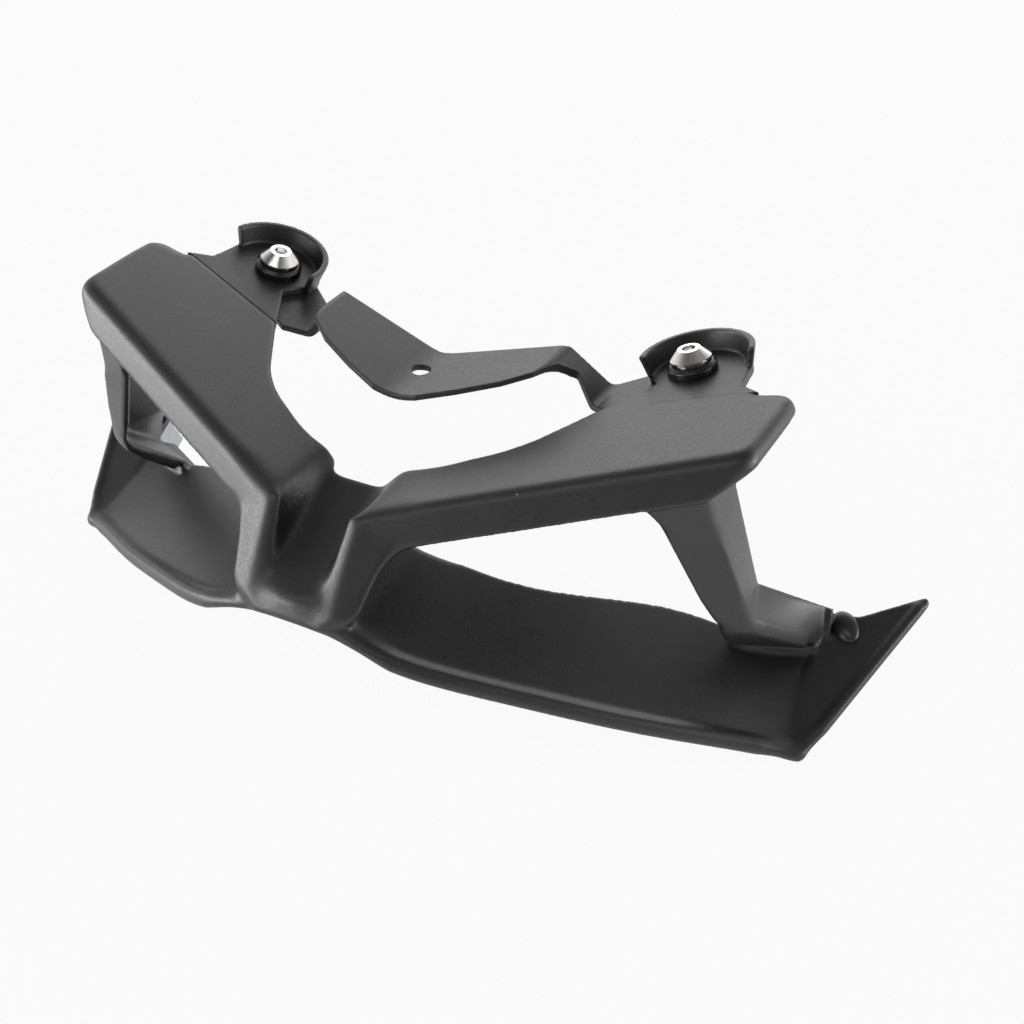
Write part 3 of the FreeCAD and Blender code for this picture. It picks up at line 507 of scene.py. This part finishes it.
def plug_profile(side):
    """Shank and a low dome: radius, height and if six sided."""
    low, top = span_along(side + "_rivet", axis_of(side + "_rivet"))
    seat = top - PLUG_DOME
    rings = [(0, low), (PLUG_SHANK, low), (PLUG_SHANK, seat), (PLUG_RADIUS, seat)]
    for step in range(PLUG_STEPS + 1):
        turn = math.radians(90 * step / PLUG_STEPS)
        height = seat + PLUG_RIM + (PLUG_DOME - PLUG_RIM) * math.sin(turn)
        rings.append((PLUG_RADIUS * math.cos(turn), height))
    return [(radius, height, False) for radius, height in rings]


def turned_mesh(node, profile, oval):
    """Rings about a node's axis, six sided in a socket, and drawn out one way where oval is over 1."""
    axis = axis_of(node)
    points = [vertex.co for vertex in nodes[node].data.vertices]
    centre = sum(points, Vector()) / len(points)
    foot = centre - axis * centre.dot(axis)
    turn = axis.to_track_quat("Z", "Y").to_matrix()
    long_way = turn @ Vector((-math.copysign(1.0, centre.x), 1.0, 0)).normalized()
    work = bmesh.new()
    rings = []
    for radius, height, six_sided in profile:
        ring = []
        for step in range(TURNED_SIDES):
            angle = math.tau * step / TURNED_SIDES
            corner = (angle % (math.pi / 3)) - math.pi / 6
            reach = radius / math.cos(corner) if six_sided else radius
            spoke = turn @ Vector((math.cos(angle) * reach, math.sin(angle) * reach, 0))
            spoke += long_way * spoke.dot(long_way) * (oval - 1.0)
            ring.append(work.verts.new(foot + axis * height + spoke))
        rings.append(ring)
    for lower, upper in zip(rings, rings[1:]):
        for step in range(TURNED_SIDES):
            following = (step + 1) % TURNED_SIDES
            work.faces.new((lower[step], lower[following], upper[following], upper[step]))
    bmesh.ops.remove_doubles(work, verts=work.verts, dist=RING_WELD)
    bmesh.ops.recalc_face_normals(work, faces=work.faces)
    mesh = bpy.data.meshes.new(node + "_turned")
    work.to_mesh(mesh)
    work.free()
    return mesh


def turned(node, profile, material, oval=1.0):
    """A piece turned about its node's axis."""
    mesh = turned_mesh(node, profile, oval)
    obj = bpy.data.objects.new(node + "_turned", mesh)
    scene.collection.objects.link(obj)
    shade_smooth(mesh)
    mesh.set_sharp_from_angle(angle=SHARP_ANGLE)
    set_material(obj, material)
    show_as(obj, node)


softened("spoiler_body", BODY, BODY_SKIN, add_body_forms, shape_body)
softened("strap", COAT, STRAP_SKIN)
for side in ("right", "left"):
    softened(side + "_ear", EAR, EAR_SKIN)
    softened(side + "_clip", ZINC, SMALL_SKIN)
    softened(side + "_nut", ZINC, SMALL_SKIN)
    turned(side + "_screw", screw_profile(side), STAINLESS)
    softened(side + "_grommet", RUBBER, SMALL_SKIN)
    turned(side + "_rivet", plug_profile(side), PLUG, PLUG_OVAL)


# Floor, light and camera
def build_floor():
    """Plain floor, white to the camera with a soft shadow, and darker in front where it is reflected."""
    bpy.ops.mesh.primitive_plane_add(size=FLOOR_SIZE, location=(0, 0, cad_box[0][2] - FLOOR_GAP))
    floor = bpy.context.object
    floor.name = "floor"
    material, tree, shader = new_material("floor_white")
    shader.inputs["Base Color"].default_value = (0.8, 0.8, 0.8, 1)
    shader.inputs["Roughness"].default_value = 0.9
    glow = add_node(tree, "ShaderNodeEmission", Strength=1.0)
    along = place_along(tree, "Object")
    mirrored = ranged(tree, along["Y"], start=-1.0, stop=-0.45, low=0.2, high=1.0)
    share = combined(tree, "MULTIPLY", seen_white(tree, mirrored), FLOOR_WHITE)
    mix = tree.nodes.new("ShaderNodeMixShader")
    tree.links.new(share, mix.inputs["Fac"])
    tree.links.new(shader.outputs[0], mix.inputs[1])
    tree.links.new(glow.outputs[0], mix.inputs[2])
    tree.links.new(mix.outputs[0], tree.nodes["Material Output"].inputs["Surface"])
    set_material(floor, material)


def build_world():
    """White behind the object, darker in reflections of the camera's side and the ceiling, soft fill."""
    world = bpy.data.worlds.new("studio")
    scene.world = world
    world.use_nodes = True
    tree = world.node_tree
    background = tree.nodes["Background"]
    background.inputs["Color"].default_value = (1, 1, 1, 1)
    direction = place_along(tree, "Generated")
    behind = ranged(tree, direction["Y"], start=-0.6, stop=0.2, low=0.25, high=1.0)
    below = ranged(tree, direction["Z"], start=0.45, stop=0.8, low=1.0, high=0.3)
    white = seen_white(tree, combined(tree, "MULTIPLY", behind, below))
    tree.links.new(combined(tree, "MAXIMUM", white, FILL_LEVEL), background.inputs["Strength"])


def softbox(name, place, aim, size, watts):
    lamp = bpy.data.lights.new(name, "AREA")
    lamp.shape = "RECTANGLE"
    lamp.size, lamp.size_y = size
    lamp.energy = watts
    obj = bpy.data.objects.new(name, lamp)
    scene.collection.objects.link(obj)
    obj.location = place
    obj.rotation_euler = (Vector(aim) - Vector(place)).to_track_quat("-Z", "Y").to_euler()


def build_camera():
    data = bpy.data.cameras.new("camera")
    data.lens = LENS_MM
    data.sensor_width = SENSOR_MM
    camera = bpy.data.objects.new("camera", data)
    scene.collection.objects.link(camera)
    back = Vector((
        math.sin(AZIMUTH) * math.cos(ELEVATION),
        -math.cos(AZIMUTH) * math.cos(ELEVATION),
        math.sin(ELEVATION),
    ))
    camera.location = AIM + back * VIEW_DISTANCE
    camera.rotation_euler = (math.pi / 2 - ELEVATION, 0, AZIMUTH)
    scene.camera = camera


build_floor()
build_world()
for name, setting in SOFTBOXES.items():
    softbox(name, *setting)
build_camera()
scene.view_settings.view_transform = "Standard"
